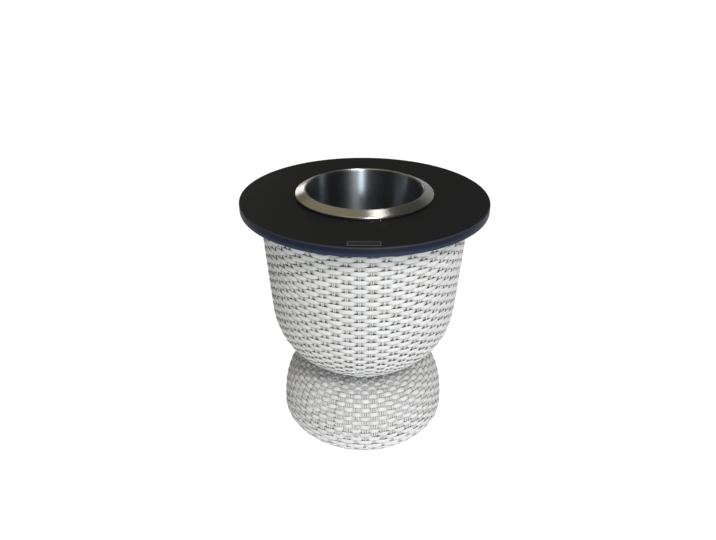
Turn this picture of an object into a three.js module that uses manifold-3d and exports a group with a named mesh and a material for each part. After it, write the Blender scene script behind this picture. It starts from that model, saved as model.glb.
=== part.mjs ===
// Round side table with a woven hourglass pedestal and a lift-out ice bucket.
// Millimetres, +Z up. The origin is on the floor, on the table's axis.

import * as THREE from "three";
import { mergeVertices } from "three/addons/utils/BufferGeometryUtils.js";
import Module from "manifold-3d";

const wasm = await Module();
wasm.setup();

// Tabletop
const tableHeight = 450;
const topRadius = 200;
const topThickness = 15;
const topEdgeRound = 2.5;
const flangeMargin = 1;

// Blank plate near the front edge of the tabletop
const plateWidth = 46;
const plateDepth = 14;
const plateThickness = 0.6;
const plateCorner = 1.5;
const plateInset = 6;

// Ice bucket, one spun sheet of steel
const bucketSheet = 1.2;
const mouthRadius = 94;
const bucketDepth = 190;
const bucketBaseRadius = 82;
const bucketBaseRound = 16;
const flangeRadius = 112;
const flangeRise = 13;
const flangeCrestRound = 3;
const flangeLipDrop = 5;
const flangeLipRound = 1.2;
const bucketHoleClearance = 2;

// Outline of the woven pedestal, outer face
const footHeight = 10;
const footRadius = 111;
const bellyHeight = 46;
const bellyRadius = 147;
const waistHeight = 147;
const waistRadius = 80;
const bowlStartDegrees = 38;
const shoulderRise = 117;
const shoulderRadius = 159;
const mouthEdgeRadius = 170;
const weaveThickness = 5;

// Rows of strand run round the pedestal. The relief is coarser than the real weave: each of
// its bands stands for a few rows, with a groove between one band and the next.
const bowlRowPitch = 7.456;
const baseRowPitch = 7.84;
const rowsPerBand = 3;
const grooveDepth = 1.7;
const grooveWidth = 5;
const bowlBandSteps = 1;
const baseBandSteps = 2;

// How far each curve of the outline keeps the direction it starts or ends with
const footPullShare = 0.25;
const bellyLowerPullShare = 0.3;
const bellyUpperPullShare = 0.85;
const waistPullShare = 0.59;
const bowlStartPullShare = 0.32;
const bowlEndPullShare = 0.67;

// Welded aluminium frame
const rodDiameter = 10;
const ribCount = 8;
const waistRingRadius = 58;
const baseRibTurnRadius = 121;
const bowlRingRise = 93;
const bellyRingRise = 12;

// Tabs welded inside the top and bottom rings
const tabWidth = 24;
const tabLength = 26;
const tabThickness = 3;
const tabCorner = 4;
const tabCount = 4;

// Screws and threaded inserts that hold the tabletop
const screwDiameter = 6;
const screwHeadRadius = 5.5;
const screwHeadHeight = 3.4;
const socketAcrossFlats = 4;
const socketDepth = 2;
const insertWall = 1.6;
const insertLength = 10;
const insertFloor = 1;

// Screw-in floor glides
const glideRadius = 9;
const glidePadHeight = 3.6;
const glideEdgeRound = 1;
const glideNeckRadius = 6;
const glideStudDiameter = 6;
const glideStudSpare = 5;

// Gaps between pieces
const fit = 0.3;
const weaveSeat = 0.6;
const cutOverrun = 1;

// Fineness of round shapes
const discSegments = 64;
const ringSegments = 48;
const smallSegments = 12;
const rodSides = 6;
const curveSteps = 6;
const rodLineSteps = 36;
const lengthSamples = 2000;
const ribSteps = 11;
const filletSteps = 3;

// Sizes that follow from the ones above
const rodRadius = rodDiameter / 2;
const topUnderside = tableHeight - topThickness;
const crestHeight = tableHeight + flangeRise;
const topHoleRadius = mouthRadius + bucketSheet + bucketHoleClearance;
const bowlTopHeight = topUnderside - fit;
const shoulderHeight = waistHeight + shoulderRise;
const rodDepth = weaveThickness + weaveSeat + rodRadius;

function finish(color, roughness, metalness) {
  return new THREE.MeshStandardMaterial({ color, roughness, metalness });
}

const laminate = finish(0x202124, 0.55, 0);
const plateMetal = finish(0x3b3b3d, 0.45, 0.8);
const bucketSteel = finish(0xc9c8c4, 0.22, 1);
const wovenResin = finish(0xdedcd8, 0.6, 0);
const frameAluminium = finish(0xa9abad, 0.45, 1);
const screwSteel = finish(0xb5b6b8, 0.35, 1);
const insertBrass = finish(0xb08d4a, 0.4, 1);
const glidePlastic = finish(0x1c1c1d, 0.7, 0);

const table = new THREE.Group();

function add(name, geometry, material, parent = table) {
  const mesh = new THREE.Mesh(geometry, material);
  mesh.name = name;
  parent.add(mesh);
  return mesh;
}

// Shapes

// Turns an outline of (radius, height) points about the Z axis.
function turned(outline, segments) {
  return new THREE.LatheGeometry(outline, segments).rotateX(Math.PI / 2);
}

function point(radius, height) {
  return new THREE.Vector2(radius, height);
}

// Moves a run of points sideways, to the left of the way it runs.
function offsetLine(points, distance) {
  return points.map((here, i) => {
    const before = points[Math.max(i - 1, 0)];
    const after = points[Math.min(i + 1, points.length - 1)];
    const along = after.clone().sub(before).normalize();
    return point(here.x - along.y * distance, here.y + along.x * distance);
  });
}

// The inner face of a wall whose rising outer face is given. It ends level with that face.
function innerFace(points, thickness) {
  const top = points[points.length - 1].y;
  return offsetLine(points, thickness).map((p) => point(p.x, Math.min(p.y, top)));
}

// Joins corner points by straight lines, with a round of the given reach at each inner corner.
function roundedPath(corners, rounds) {
  const path = new THREE.Path();
  path.moveTo(corners[0].x, corners[0].y);
  for (let i = 1; i < corners.length - 1; i += 1) {
    const corner = corners[i];
    const into = corners[i - 1].clone().sub(corner).setLength(rounds[i - 1]).add(corner);
    const out = corners[i + 1].clone().sub(corner).setLength(rounds[i - 1]).add(corner);
    path.lineTo(into.x, into.y);
    path.quadraticCurveTo(corner.x, corner.y, out.x, out.y);
  }
  const last = corners[corners.length - 1];
  path.lineTo(last.x, last.y);
  return path;
}

function roundedRectangle(width, depth, corner) {
  const x = width / 2;
  const y = depth / 2;
  const shape = new THREE.Shape();
  shape.moveTo(corner - x, -y);
  shape.lineTo(x - corner, -y);
  shape.absarc(x - corner, corner - y, corner, -Math.PI / 2, 0, false);
  shape.lineTo(x, y - corner);
  shape.absarc(x - corner, y - corner, corner, 0, Math.PI / 2, false);
  shape.lineTo(corner - x, y);
  shape.absarc(corner - x, y - corner, corner, Math.PI / 2, Math.PI, false);
  shape.lineTo(-x, corner - y);
  shape.absarc(corner - x, corner - y, corner, Math.PI, Math.PI * 1.5, false);
  return shape;
}

function polygon(radius, sides) {
  const corners = [];
  for (let i = 0; i < sides; i += 1) {
    const angle = (2 * Math.PI * i) / sides;
    corners.push(point(radius * Math.cos(angle), radius * Math.sin(angle)));
  }
  return corners;
}

function toManifold(geometry) {
  const bare = geometry.clone();
  bare.deleteAttribute("normal");
  bare.deleteAttribute("uv");
  const merged = mergeVertices(bare);
  const vertProperties = Float32Array.from(merged.attributes.position.array);
  const triVerts = Uint32Array.from(merged.index.array);
  return new wasm.Manifold(new wasm.Mesh({ numProp: 3, vertProperties, triVerts }));
}

function fromManifold(solid) {
  const mesh = solid.getMesh();
  const geometry = new THREE.BufferGeometry();
  geometry.setAttribute("position", new THREE.BufferAttribute(mesh.vertProperties, 3));
  geometry.setIndex(new THREE.BufferAttribute(mesh.triVerts, 1));
  geometry.computeVertexNormals();
  return geometry;
}

// A cylinder that stands on a given height
function standingCylinder(radius, bottom, top) {
  const height = top - bottom;
  const cylinder = new THREE.CylinderGeometry(radius, radius, height, smallSegments);
  return cylinder.rotateX(Math.PI / 2).translate(0, 0, bottom + height / 2);
}

// Places a copy of a piece at each share of a full turn about the table's axis.
function around(count, startTurn, build) {
  for (let i = 0; i < count; i += 1) {
    const arm = new THREE.Group();
    arm.rotation.z = startTurn + (2 * Math.PI * i) / count;
    table.add(arm);
    build(i + 1, arm);
  }
}

// Outline of the pedestal

function leaning(degrees) {
  const angle = THREE.MathUtils.degToRad(degrees);
  return point(Math.cos(angle), Math.sin(angle));
}

function bezier(start, startWay, startPull, end, endWay, endPull) {
  const first = startWay.clone().multiplyScalar(startPull).add(start);
  const second = endWay.clone().multiplyScalar(-endPull).add(end);
  return new THREE.CubicBezierCurve(start, first, second, end);
}

const upwards = point(0, 1);
const outwards = point(1, 0);
const inwards = point(-1, 0);
const foot = point(footRadius, footHeight);
const belly = point(bellyRadius, bellyHeight);
const waist = point(waistRadius, waistHeight);
const shoulder = point(shoulderRadius, shoulderHeight);
const bowlTop = point(mouthEdgeRadius, bowlTopHeight);
const wallWay = bowlTop.clone().sub(shoulder).normalize();
const bowlStartWay = leaning(bowlStartDegrees);

const lowerBelly = bezier(
  foot, outwards, footPullShare * (bellyRadius - footRadius),
  belly, upwards, bellyLowerPullShare * (bellyHeight - footHeight),
);
const upperBelly = bezier(
  belly, upwards, bellyUpperPullShare * (waistHeight - bellyHeight),
  waist, inwards, waistPullShare * (bellyRadius - waistRadius),
);
const bowlRound = bezier(
  waist, bowlStartWay, bowlStartPullShare * shoulderRise,
  shoulder, wallWay, bowlEndPullShare * shoulderRise,
);

// Points of the base's outline, which ends below the bowl by a given gap
function basePoints(steps, endGap) {
  const lower = lowerBelly.getPoints(steps);
  const upper = upperBelly.getPoints(steps).slice(1, -1);
  return [...lower, ...upper, point(waistRadius, waistHeight - endGap)];
}

function bowlPoints(steps) {
  return [...bowlRound.getPoints(steps), bowlTop];
}

// Tabletop, with a hole for the bucket and blind holes for the inserts

// How far out a straight-ended tab can reach inside a ring
function tabReach(ring) {
  const inner = ring.x - rodRadius - fit;
  return Math.sqrt(inner * inner - (tabWidth * tabWidth) / 4);
}

const tabMiddle = tabLength / 2;
const screwHoleRadius = screwDiameter / 2 + fit;
const insertRadius = screwHoleRadius + insertWall;
const bowlRodLine = offsetLine(bowlPoints(rodLineSteps), rodDepth);
const baseRodLine = offsetLine(basePoints(rodLineSteps, 0), rodDepth);
const topRing = point(bowlRodLine[bowlRodLine.length - 1].x, topUnderside - fit - rodRadius);
const topTabRadius = tabReach(topRing) - tabMiddle;

// The open part of the top face is set apart from the part under the bucket's flange.
function topOutline() {
  const corners = [
    point(topHoleRadius, topUnderside),
    point(topRadius, topUnderside),
    point(topRadius, tableHeight),
    point(flangeRadius + flangeMargin, tableHeight),
  ];
  const path = roundedPath(corners, [topEdgeRound, topEdgeRound]);
  path.lineTo(topHoleRadius, tableHeight);
  const points = path.getPoints(filletSteps);
  return [...points, points[0].clone()];
}

function tabletopGeometry() {
  let board = toManifold(turned(topOutline(), discSegments));
  const hole = standingCylinder(
    insertRadius + fit,
    topUnderside - cutOverrun,
    topUnderside + insertLength + insertFloor,
  ).translate(topTabRadius, 0, 0);
  for (let i = 0; i < tabCount; i += 1) {
    const turn = Math.PI / ribCount + (2 * Math.PI * i) / tabCount;
    board = board.subtract(toManifold(hole.clone().rotateZ(turn)));
  }
  return fromManifold(board);
}

add("tabletop", tabletopGeometry(), laminate);

const plate = new THREE.ExtrudeGeometry(
  roundedRectangle(plateWidth, plateDepth, plateCorner),
  { depth: plateThickness, bevelEnabled: false, curveSegments: filletSteps },
);
const badgePlate = add("badge_plate", plate, plateMetal);
badgePlate.position.set(0, plateInset + plateDepth / 2 - topRadius, tableHeight);

// Ice bucket, hung by its flange in the hole of the tabletop

function bucketGeometry() {
  const half = bucketSheet / 2;
  const seat = tableHeight + fit;
  const floor = crestHeight - bucketDepth - half;
  const lip = flangeRadius - half;
  const corners = [
    point(0, floor),
    point(bucketBaseRadius + half, floor),
    point(mouthRadius + half, crestHeight - half),
    point(lip, seat + flangeLipDrop),
    point(lip, seat),
  ];
  const rounds = [bucketBaseRound, flangeCrestRound, flangeLipRound];
  const middle = roundedPath(corners, rounds).getPoints(filletSteps);
  const outside = offsetLine(middle, -half);
  const inside = offsetLine(middle, half).reverse();
  return turned([...outside, ...inside], ringSegments);
}

add("ice_bucket", bucketGeometry(), bucketSteel);

// Woven shells of the pedestal

// The outer face of a woven wall: bands along a run of curves, with grooves between them
function bandedFace(curves, rowPitch, bandSteps) {
  const path = new THREE.CurvePath();
  curves.forEach((curve) => path.add(curve));
  const length = path.getLength();
  const bandCount = Math.round(length / (rowPitch * rowsPerBand));
  const halfGroove = grooveWidth / 2 / length;
  const points = [];
  for (let band = 0; band < bandCount; band += 1) {
    const isFirst = band === 0;
    const isLast = band === bandCount - 1;
    const start = band / bandCount + (isFirst ? 0 : halfGroove);
    const end = (band + 1) / bandCount - (isLast ? 0 : halfGroove);
    for (let step = 0; step <= bandSteps; step += 1) {
      points.push(path.getPoint(start + (end - start) * (step / bandSteps)));
    }
    if (!isLast) {
      const bottom = (band + 1) / bandCount;
      const along = path.getTangent(bottom);
      const inwardWay = point(-along.y, along.x).setLength(grooveDepth);
      points.push(path.getPoint(bottom).add(inwardWay));
    }
  }
  return points;
}

// A wall turned from its outer face and the points that its inner face follows
function shellGeometry(outer, innerGuide) {
  const inner = innerFace(innerGuide, weaveThickness).reverse();
  return turned([...outer, ...inner, outer[0].clone()], ringSegments);
}

const bowlWall = new THREE.LineCurve(shoulder, bowlTop);
const bowlFace = bandedFace([bowlRound, bowlWall], bowlRowPitch, bowlBandSteps);
add("woven_bowl", shellGeometry(bowlFace, bowlPoints(curveSteps)), wovenResin);

const baseFace = bandedFace([lowerBelly, upperBelly], baseRowPitch, baseBandSteps);
baseFace[baseFace.length - 1].y -= fit;
add("woven_base", shellGeometry(baseFace, basePoints(curveSteps, fit)), wovenResin);

// Rings of the frame

const bottomRing = baseRodLine[0];

// The waist ring lies where the straight starts of the bowl ribs reach its radius.
const bowlRodStart = bowlRodLine[0];
const bowlStartSlope = bowlStartWay.y / bowlStartWay.x;
const waistRing = point(
  waistRingRadius,
  bowlRodStart.y - (bowlRodStart.x - waistRingRadius) * bowlStartSlope,
);

const bowlRibLine = [waistRing, ...bowlRodLine.slice(0, -1), topRing];

// The base ribs follow the weave up to their turn and then run straight to the waist ring.
const besideWeave = baseRodLine.filter((p) => p.x > baseRibTurnRadius || p.y < bellyHeight);
const baseRibLine = [...besideWeave, waistRing];

// A ring that lies inside the ribs, where their line passes a given height
function hoopCentre(line, height) {
  const after = line.findIndex((p) => p.y > height);
  const low = line[after - 1];
  const high = line[after];
  const share = (height - low.y) / (high.y - low.y);
  const radius = low.x + share * (high.x - low.x);
  return point(radius - rodDiameter - fit, height);
}

const rings = {
  top_ring: topRing,
  bowl_ring: hoopCentre(bowlRibLine, waistHeight + bowlRingRise),
  waist_ring: waistRing,
  belly_ring: hoopCentre(baseRibLine, bellyHeight + bellyRingRise),
  bottom_ring: bottomRing,
};

for (const [name, centre] of Object.entries(rings)) {
  const ring = new THREE.TorusGeometry(centre.x, rodRadius, rodSides, ringSegments);
  add(name, ring, frameAluminium).position.z = centre.y;
}

// Ribs between the rings

function ribGeometry(points) {
  const line = new THREE.CatmullRomCurve3(
    points.map((p) => new THREE.Vector3(p.x, 0, p.y)), false, "centripetal",
  );
  line.arcLengthDivisions = lengthSamples;
  const trim = (rodRadius + fit) / line.getLength();
  const trimmed = [];
  for (let i = 0; i <= ribSteps; i += 1) {
    trimmed.push(line.getPointAt(trim + (1 - 2 * trim) * (i / ribSteps)));
  }
  const path = new THREE.CatmullRomCurve3(trimmed, false, "centripetal");
  const section = new THREE.Shape(polygon(rodRadius, rodSides));
  return new THREE.ExtrudeGeometry(section, { extrudePath: path, steps: ribSteps });
}

around(ribCount, 0, (number, arm) => {
  add(`bowl_rib_${number}`, ribGeometry(bowlRibLine), frameAluminium, arm);
});

around(ribCount, Math.PI / ribCount, (number, arm) => {
  add(`base_rib_${number}`, ribGeometry(baseRibLine), frameAluminium, arm);
});

// Tabs, with the hole that a screw or a stud passes

function tabGeometry(holeRadius) {
  const shape = roundedRectangle(tabLength, tabWidth, tabCorner);
  shape.holes.push(new THREE.Path(polygon(holeRadius, smallSegments)));
  return new THREE.ExtrudeGeometry(
    shape, { depth: tabThickness, bevelEnabled: false, curveSegments: filletSteps },
  );
}

function screwGeometry(headTop, tip) {
  const head = standingCylinder(screwHeadRadius, headTop - screwHeadHeight, headTop);
  const shank = standingCylinder(screwDiameter / 2, headTop - cutOverrun, tip);
  const socket = new THREE.ExtrudeGeometry(
    new THREE.Shape(polygon(socketAcrossFlats / Math.sqrt(3), 6)),
    { depth: socketDepth + cutOverrun, bevelEnabled: false },
  ).translate(0, 0, headTop - screwHeadHeight - cutOverrun);
  const whole = toManifold(head).add(toManifold(shank));
  return fromManifold(whole.subtract(toManifold(socket)));
}

function insertGeometry() {
  const bottom = topUnderside + fit;
  const top = topUnderside + insertLength;
  const outline = [
    point(screwHoleRadius, bottom),
    point(insertRadius, bottom),
    point(insertRadius, top),
    point(screwHoleRadius, top),
    point(screwHoleRadius, bottom),
  ];
  return turned(outline, smallSegments);
}

const topTabTop = topUnderside - fit;
const topTabBottom = topTabTop - tabThickness;
const bottomTabRadius = tabReach(bottomRing) - tabMiddle;
const bottomTabBottom = bottomRing.y - tabThickness / 2;

around(tabCount, Math.PI / ribCount, (number, arm) => {
  const tab = add(`top_tab_${number}`, tabGeometry(screwHoleRadius), frameAluminium, arm);
  tab.position.set(topTabRadius, 0, topTabBottom);
  const screwTip = topUnderside + insertLength;
  const screw = screwGeometry(topTabBottom - fit, screwTip);
  add(`top_screw_${number}`, screw, screwSteel, arm).position.x = topTabRadius;
  add(`top_insert_${number}`, insertGeometry(), insertBrass, arm).position.x = topTabRadius;
});

// Floor glides, screwed into tabs inside the bottom ring

function glideGeometry() {
  const neckTop = bottomTabBottom - fit;
  const studTop = bottomTabBottom + tabThickness + glideStudSpare;
  const stud = glideStudDiameter / 2;
  const outline = [
    point(0, 0),
    point(glideRadius - glideEdgeRound, 0),
    point(glideRadius, glideEdgeRound),
    point(glideRadius, glidePadHeight),
    point(glideNeckRadius, glidePadHeight + glideEdgeRound),
    point(glideNeckRadius, neckTop),
    point(stud, neckTop),
    point(stud, studTop),
    point(0, studTop),
  ];
  return turned(outline, smallSegments);
}

around(tabCount, Math.PI / ribCount, (number, arm) => {
  const holeRadius = glideStudDiameter / 2 + fit;
  const tab = add(`foot_tab_${number}`, tabGeometry(holeRadius), frameAluminium, arm);
  tab.position.set(bottomTabRadius, 0, bottomTabBottom);
  add(`foot_glide_${number}`, glideGeometry(), glidePlastic, arm).position.x = bottomTabRadius;
});

export default table;
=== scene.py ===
"""Round side table with a woven hourglass pedestal and a steel ice bucket that lifts out.

Metres, +Z up. The origin is on the floor, on the table's axis. The blank plate faces -Y.
"""

import math

import bpy
import numpy as np
from bpy.props import FloatProperty, FloatVectorProperty, IntProperty, PointerProperty
from mathutils import Matrix, Vector


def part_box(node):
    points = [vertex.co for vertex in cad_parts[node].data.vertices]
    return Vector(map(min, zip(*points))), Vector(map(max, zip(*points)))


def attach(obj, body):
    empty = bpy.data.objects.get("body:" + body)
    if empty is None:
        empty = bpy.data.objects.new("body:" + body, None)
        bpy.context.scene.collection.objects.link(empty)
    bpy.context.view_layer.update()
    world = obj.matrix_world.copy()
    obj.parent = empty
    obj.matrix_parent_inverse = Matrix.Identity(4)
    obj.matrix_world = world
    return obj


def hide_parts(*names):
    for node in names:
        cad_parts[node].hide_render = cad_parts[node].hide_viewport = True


bl_info = {
    "name": "Woven ice bucket table",
    "version": (1, 0, 0),
    "blender": (4, 5, 0),
    "location": "3D Viewport > Sidebar > Ice table",
    "description": "Builds a round woven side table with a lift-out ice bucket",
    "category": "Add Mesh",
}

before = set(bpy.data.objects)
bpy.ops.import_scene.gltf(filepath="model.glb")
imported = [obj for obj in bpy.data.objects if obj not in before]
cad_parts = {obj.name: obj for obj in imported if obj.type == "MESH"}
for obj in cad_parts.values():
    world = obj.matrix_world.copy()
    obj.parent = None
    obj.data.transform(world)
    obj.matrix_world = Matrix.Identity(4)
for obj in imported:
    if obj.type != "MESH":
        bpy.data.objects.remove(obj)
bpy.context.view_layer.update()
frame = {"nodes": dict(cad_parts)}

MM = 0.001
TOP_LOW, TOP_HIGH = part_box("tabletop")
PLATE_LOW, PLATE_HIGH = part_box("badge_plate")
BUCKET_LOW, BUCKET_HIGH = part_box("ice_bucket")

# Ribs in each half of the pedestal, and tabs, screws, inserts or glides in each set
RIBS = 8
CORNERS = 4


# Sizes and colours


def length(name, description, millimetres):
    """A property for a size, kept in metres."""
    return FloatProperty(name=name, description=description, default=millimetres * MM,
                         min=0.0, precision=5, subtype="DISTANCE", unit="LENGTH")


def angle(name, description, degrees):
    """A property for an angle."""
    return FloatProperty(name=name, description=description,
                         default=math.radians(degrees), subtype="ANGLE", unit="ROTATION")


def share(name, description, default):
    """A property for a share of something."""
    return FloatProperty(name=name, description=description, default=default, precision=4)


def colour(name, description, default):
    """A property for a colour."""
    return FloatVectorProperty(name=name, description=description, default=default,
                               size=3, min=0.0, max=1.0, subtype="COLOR")


class TopSizes(bpy.types.PropertyGroup):
    """Sizes of the tabletop and its blank plate."""

    radius: length("Radius", "Outer radius of the tabletop", TOP_HIGH.x / MM)
    hole_radius: length("Hole radius", "Radius of the hole for the bucket", 97.2)
    hole_round: length("Hole round", "Reach of the round along the hole's edges", 0.6)
    edge_round: length("Edge round", "Reach of the round along each outer edge", 2.5)
    plate_corner: length("Plate corner", "Corner radius of the blank plate", 1.5)
    plate_border: length("Plate border", "Width of the plate's raised border", 1.1)


class BucketSizes(bpy.types.PropertyGroup):
    """Sizes of the ice bucket."""

    sheet: length("Sheet", "Thickness of the steel", 1.2)
    depth: length("Depth", "Height of the mouth above the bottom", 190)
    mouth_radius: length("Mouth radius", "Inner radius at the mouth", 94)
    base_radius: length("Base radius", "Inner radius at the bottom", 82)
    base_round: length("Base round", "Reach of the round at the bottom", 16)
    crest_round: length("Crest round", "Reach of the round at the mouth", 3)
    lip_drop: length("Lip drop", "Height of the flange's turned-down lip", 5)
    lip_round: length("Lip round", "Reach of the round at the lip", 1.6)
    lip_tuck: length("Lip tuck", "How far the lip leans in below the flange", 2.2)
    seat_gap: length("Seat gap", "Gap between the lip and the tabletop", 0.3)


class PedestalSizes(bpy.types.PropertyGroup):
    """Outline of the woven pedestal, outer face."""

    foot_height: length("Foot height", "Height of the woven base's lower edge", 10)
    foot_radius: length("Foot radius", "Radius of the woven base's lower edge", 111)
    belly_height: length("Belly height", "Height of the base's widest place", 46)
    belly_radius: length("Belly radius", "Radius of the base's widest place", 147)
    waist_height: length("Waist height", "Height where the bowl meets the base", 147)
    waist_radius: length("Waist radius", "Radius where the bowl meets the base", 80)
    bowl_start: angle("Bowl start", "Slope of the bowl where it leaves the waist", 38)
    shoulder_rise: length("Shoulder rise", "From the waist to the bowl's shoulder", 117)
    shoulder_radius: length("Shoulder radius", "Radius of the bowl's shoulder", 159)
    mouth_radius: length("Mouth radius", "Radius of the bowl under the tabletop", 170)
    top_gap: length("Top gap", "Gap between the bowl and the tabletop", 0.3)
    foot_end: length("Foot end", "Way up the base where its narrow stakes widen", 60)
    wall_start: length("Wall start", "Way up the base where its stakes are wide", 84)
    foot_window: share("Foot window", "Half the width in which a stake shows in the foot", 0.2)


def weave_sizes(name, words, values):
    """A property group with the sizes of one weave."""
    pitch, first, last, stakes, turn, window, strands, spread, high, low = values
    fields = {
        "row_pitch": length("Row pitch", "Distance between rows of the weave", pitch),
        "first_row": length("First row", "Way along the outline to the first row", first),
        "last_row": length("Last row", "Way along the outline to the last row", last),
        "stakes": IntProperty(name="Stakes", description="Number of upright stakes, even",
                              default=stakes, min=4, step=2),
        "stake_turn": angle("Stake turn", "Turn of the first stake from -Y", turn),
        "window": share("Window", "Half the width in which a stake shows, in stake gaps", window),
        "strands": IntProperty(name="Strands", description="Strands in one stake",
                               default=strands, min=1),
        "spread": share("Spread", "From strand to strand of one stake, in stake gaps", spread),
        "fill": share("Fill", "Width of a stake's strand, as a share of the spread", 0.9),
        "high_share": share("High share", "Half height of a strand over a stake, in rows", high),
        "low_share": share("Low share", "Half height of a strand behind a stake, in rows", low),
        "strand": length("Strand", "Thickness of the woven strand", 1.7),
        "stake_strand": length("Stake strand", "Thickness of a stake's strands", 1.5),
        "wave": length("Wave", "How far the woven strand leaves the middle", 1.25),
        "stake_wave": length("Stake wave", "How far a stake leaves the middle", 0.75),
        "dome": length("Dome", "Extra rise at the middle of each bump", 0.5),
        "depth": length("Depth", "From the outline to the middle of the weave", 2.5),
    }
    return type(name, (bpy.types.PropertyGroup,), {"__annotations__": fields, "__doc__": words})


BowlWeave = weave_sizes("BowlWeave", "Sizes of the bowl's weave.",
                        (7.456, 1.06, 315.0, 54, -2.27, 0.365, 2, 0.135, 0.55, 0.43))
BaseWeave = weave_sizes("BaseWeave", "Sizes of the base's weave.",
                        (7.84, 7.5, 188.5, 58, 1.86, 0.53, 3, 0.25, 0.49, 0.4))


class FrameSizes(bpy.types.PropertyGroup):
    """Sizes of the welded frame and the glides."""

    rod_radius: length("Rod radius", "Radius of the frame's tubes", 5)
    rod_depth: length("Rod depth", "From the outline to a tube's centre", 10.6)
    turn_radius: length("Turn radius", "Where the base ribs leave the weave", 121)
    weld_flare: length("Weld flare", "How far a weld stands proud of a tube", 1.3)
    weld_reach: length("Weld reach", "How far a weld runs along a tube", 2.2)
    pad_radius: length("Pad radius", "Radius of a glide's pad", 9)
    pad_height: length("Pad height", "Height of a glide's pad at its rim", 3.6)
    pad_rise: length("Pad rise", "Rise from the pad's rim to the neck", 1)
    pad_round: length("Pad round", "Reach of the round under a glide's pad", 1.2)
    neck_radius: length("Neck radius", "Radius of a glide's neck", 6)
    neck_gap: length("Neck gap", "Gap between a glide's neck and its tab", 0.3)
    stem_radius: length("Stem radius", "Radius of a glide's stem", 3)


class TableColours(bpy.types.PropertyGroup):
    """Colours of the table."""

    laminate: colour("Laminate", "Face of the tabletop", (0.0108, 0.0106, 0.0108))
    # The edge's two colours carry a painted reflection: painted shade above, painted light below
    edge_shaded: colour("Edge", "Upper part of the tabletop's edge", (0.0075, 0.0108, 0.0205))
    edge_lit: colour("Edge, lower part", "Lower part of the edge", (0.019, 0.027, 0.046))
    # Painted highlight along the top round of the edge
    edge_highlight: colour("Edge line", "Worn line along the top of the edge", (0.025, 0.027, 0.037))
    plate: colour("Plate", "Face of the blank plate", (0.025, 0.024, 0.025))
    plate_border: colour("Plate border", "Rubbed border of the blank plate", (0.1, 0.097, 0.1))
    steel: colour("Steel", "Ice bucket's flange", (0.64, 0.62, 0.575))
    # Painted shade: the wall is the same steel, painted darker and bluish
    steel_wall_shade: colour("Steel inside", "Ice bucket's wall", (0.33, 0.35, 0.37))
    resin: colour("Resin", "Woven strands", (0.56, 0.553, 0.555))
    resin_shade: colour("Resin shade", "Darker woven strands", (0.462, 0.455, 0.444))
    # Painted shade for strands where they pass behind others
    resin_sunk: colour("Resin, sunk", "Strands where they pass behind", (0.36, 0.345, 0.325))
    # The colour the weave turns towards at its bottom: darker and warmer
    low_tint: colour("Grime", "Dust held low on the weave", (0.36, 0.33, 0.29))
    aluminium: colour("Aluminium", "Frame", (0.45, 0.455, 0.46))
    brass: colour("Brass", "Threaded inserts", (0.56, 0.41, 0.18))
    screw: colour("Screw", "Screws of the tabletop", (0.5, 0.5, 0.51))
    glide: colour("Glide", "Floor glides", (0.013, 0.013, 0.014))
    scuff: colour("Glide, scuffed", "Underside of the glides", (0.09, 0.088, 0.085))
    floor: colour("Floor", "Studio floor", (0.2, 0.2, 0.2))


class TableSettings(bpy.types.PropertyGroup):
    """Everything about the table that can be changed."""

    top: PointerProperty(type=TopSizes)
    bucket: PointerProperty(type=BucketSizes)
    pedestal: PointerProperty(type=PedestalSizes)
    bowl: PointerProperty(type=BowlWeave)
    base: PointerProperty(type=BaseWeave)
    frame: PointerProperty(type=FrameSizes)
    colours: PointerProperty(type=TableColours)


def settings():
    """The table's settings in the open scene."""
    return bpy.context.scene.ice_table


# Shapes


def enclosed(points, faces):
    """Six times the volume that faces enclose: the sum, over their triangles, of a . (b x c)."""
    a, b, c = points[faces[:, 0]], points[faces[:, 1:-1]], points[faces[:, 2:]]
    return np.einsum("ik,ijk->", a, np.cross(b, c))


def mesh_object(name, points, quads, material, caps=None, uv=None, **values):
    """A smooth-shaded mesh at the origin, from whole arrays of points and faces.

    caps are further faces. All faces are turned over together if what they enclose comes out
    negative. uv and each of the named values hold one entry for each point.
    """
    groups = [quads] if caps is None else [quads, caps]
    if sum(enclosed(points, faces) for faces in groups) < 0:
        groups = [faces[:, ::-1] for faces in groups]
    mesh = bpy.data.meshes.new(name)
    counts = np.concatenate([np.full(len(faces), faces.shape[1]) for faces in groups])
    corners = np.concatenate([faces.ravel() for faces in groups]).astype(np.int32)
    starts = np.concatenate([[0], np.cumsum(counts)[:-1]]).astype(np.int32)
    mesh.vertices.add(len(points))
    mesh.vertices.foreach_set("co", points.astype(np.float32).ravel())
    mesh.loops.add(len(corners))
    mesh.loops.foreach_set("vertex_index", corners)
    mesh.polygons.add(len(counts))
    mesh.polygons.foreach_set("loop_start", starts)
    mesh.polygons.foreach_set("use_smooth", np.ones(len(counts), bool))
    if uv is not None:
        layer = mesh.uv_layers.new(name="Strand")
        layer.uv.foreach_set("vector", uv[corners].astype(np.float32).ravel())
    for value_name, value in values.items():
        layer = mesh.attributes.new(value_name, "FLOAT", "POINT")
        layer.data.foreach_set("value", value.astype(np.float32).ravel())
    mesh.update(calc_edges=True)
    mesh.materials.append(material)
    made = bpy.data.objects.new(name, mesh)
    bpy.context.scene.collection.objects.link(made)
    return made


def unit(vector):
    """A (radius, height) vector's direction."""
    return vector / np.hypot(*vector)


def around(r, z, a):
    """Points or directions with radial part r and upright part z, at the angle a about Z."""
    return np.stack(np.broadcast_arrays(r * np.cos(a), r * np.sin(a), z), -1)


def forward(a):
    """The level direction in which the angle a about Z grows."""
    return np.stack([-np.sin(a), np.cos(a), np.zeros_like(a)], -1)


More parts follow.
